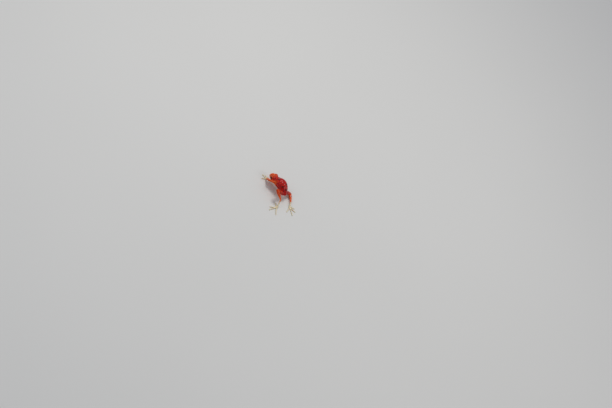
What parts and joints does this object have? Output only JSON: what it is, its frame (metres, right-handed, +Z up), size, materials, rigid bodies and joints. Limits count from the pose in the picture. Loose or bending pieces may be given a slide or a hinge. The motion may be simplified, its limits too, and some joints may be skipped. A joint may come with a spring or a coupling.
{
  "type": "poison dart frog",
  "caption": "Life-size still model of a strawberry poison dart frog, red with dark flecks and cream feet, standing tall with one arm reaching forward.",
  "frame": {"origin": "on the floor, below the middle of the whole frog's bounding box", "axes": "+Z up, the frog faces -Y and its left side is +X"},
  "size_m": [0.0286, 0.0398, 0.0111],
  "materials": {
    "red_skin": "moist, finely grained skin, vivid red with small dark flecks",
    "limb_skin": "moist, finely grained orange-red skin",
    "cream_skin": "moist, pale cream skin with tan flecks",
    "eye": "glossy, nearly black"
  },
  "bodies": {
    "root": {"head": "red_skin", "torso": "red_skin", "eye_left": "eye", "eye_right": "eye", "upper_arm_left": "limb_skin", "upper_arm_right": "limb_skin", "forearm_left": "limb_skin", "forearm_right": "limb_skin", "hand_left": "cream_skin", "hand_right": "cream_skin", "thigh_left": "limb_skin", "thigh_right": "limb_skin", "shank_left": "limb_skin", "shank_right": "limb_skin", "tarsus_left": "cream_skin", "tarsus_right": "cream_skin", "foot_left": "cream_skin", "foot_right": "cream_skin"}
  },
  "joints": []
}
